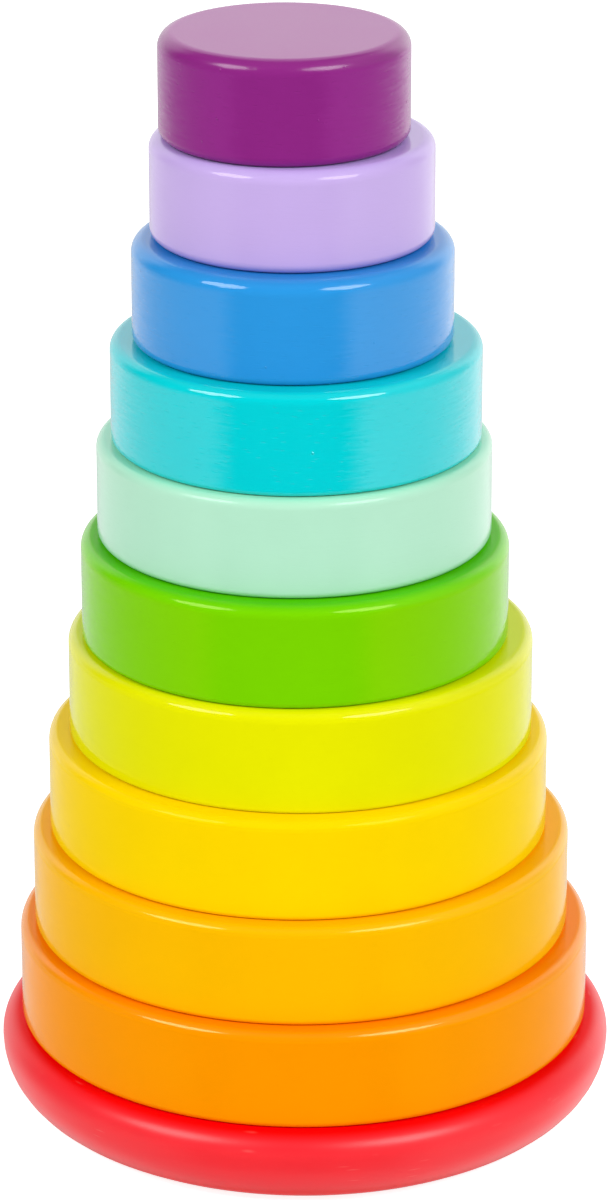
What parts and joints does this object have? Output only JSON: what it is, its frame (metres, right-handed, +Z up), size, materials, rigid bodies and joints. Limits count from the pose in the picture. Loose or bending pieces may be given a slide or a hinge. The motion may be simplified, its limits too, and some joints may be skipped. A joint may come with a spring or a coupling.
{
  "type": "rainbow stacker toy",
  "caption": "Wooden stacking toy: lacquered rings of falling size and a solid cap threaded on an upright peg in a round-rimmed base, each ring lifting off along the peg.",
  "frame": {"origin": "centre of the base's underside", "axes": "+Z up along the peg, -Y towards the viewer of the picture"},
  "size_m": [0.13, 0.13, 0.2319],
  "materials": {
    "red_paint": "satin paint on turned wood",
    "bare_beech": "sanded, uncoated",
    "orange_lacquer": "gloss lacquer on turned wood",
    "amber_lacquer": "gloss lacquer on turned wood",
    "yellow_lacquer": "gloss lacquer on turned wood",
    "lime_lacquer": "gloss lacquer on turned wood",
    "green_lacquer": "gloss lacquer on turned wood",
    "mint_lacquer": "gloss lacquer on turned wood",
    "turquoise_lacquer": "gloss lacquer on turned wood",
    "blue_lacquer": "gloss lacquer on turned wood",
    "lavender_lacquer": "gloss lacquer on turned wood",
    "plum_lacquer": "gloss lacquer on turned wood"
  },
  "bodies": {
    "stand": {"base": "red_paint", "peg": "bare_beech"},
    "orange_ring": {"orange_ring": "orange_lacquer"},
    "amber_ring": {"amber_ring": "amber_lacquer"},
    "yellow_ring": {"yellow_ring": "yellow_lacquer"},
    "lime_ring": {"lime_ring": "lime_lacquer"},
    "green_ring": {"green_ring": "green_lacquer"},
    "mint_ring": {"mint_ring": "mint_lacquer"},
    "turquoise_ring": {"turquoise_ring": "turquoise_lacquer"},
    "blue_ring": {"blue_ring": "blue_lacquer"},
    "lavender_ring": {"lavender_ring": "lavender_lacquer"},
    "plum_cap": {"plum_cap": "plum_lacquer"}
  },
  "joints": [
    {"name": "orange_ring_lift", "type": "slide", "parent": "stand", "child": "orange_ring", "axis": [0, 0, 1], "range_m": [0, 0.207]},
    {"name": "amber_ring_lift", "type": "slide", "parent": "orange_ring", "child": "amber_ring", "axis": [0, 0, 1], "range_m": [0, 0.186]},
    {"name": "yellow_ring_lift", "type": "slide", "parent": "amber_ring", "child": "yellow_ring", "axis": [0, 0, 1], "range_m": [0, 0.165]},
    {"name": "lime_ring_lift", "type": "slide", "parent": "yellow_ring", "child": "lime_ring", "axis": [0, 0, 1], "range_m": [0, 0.143]},
    {"name": "green_ring_lift", "type": "slide", "parent": "lime_ring", "child": "green_ring", "axis": [0, 0, 1], "range_m": [0, 0.121]},
    {"name": "mint_ring_lift", "type": "slide", "parent": "green_ring", "child": "mint_ring", "axis": [0, 0, 1], "range_m": [0, 0.099]},
    {"name": "turquoise_ring_lift", "type": "slide", "parent": "mint_ring", "child": "turquoise_ring", "axis": [0, 0, 1], "range_m": [0, 0.078]},
    {"name": "blue_ring_lift", "type": "slide", "parent": "turquoise_ring", "child": "blue_ring", "axis": [0, 0, 1], "range_m": [0, 0.057]},
    {"name": "lavender_ring_lift", "type": "slide", "parent": "blue_ring", "child": "lavender_ring", "axis": [0, 0, 1], "range_m": [0, 0.035]},
    {"name": "plum_cap_lift", "type": "slide", "parent": "lavender_ring", "child": "plum_cap", "axis": [0, 0, 1], "range_m": [0, 0.015]}
  ]
}
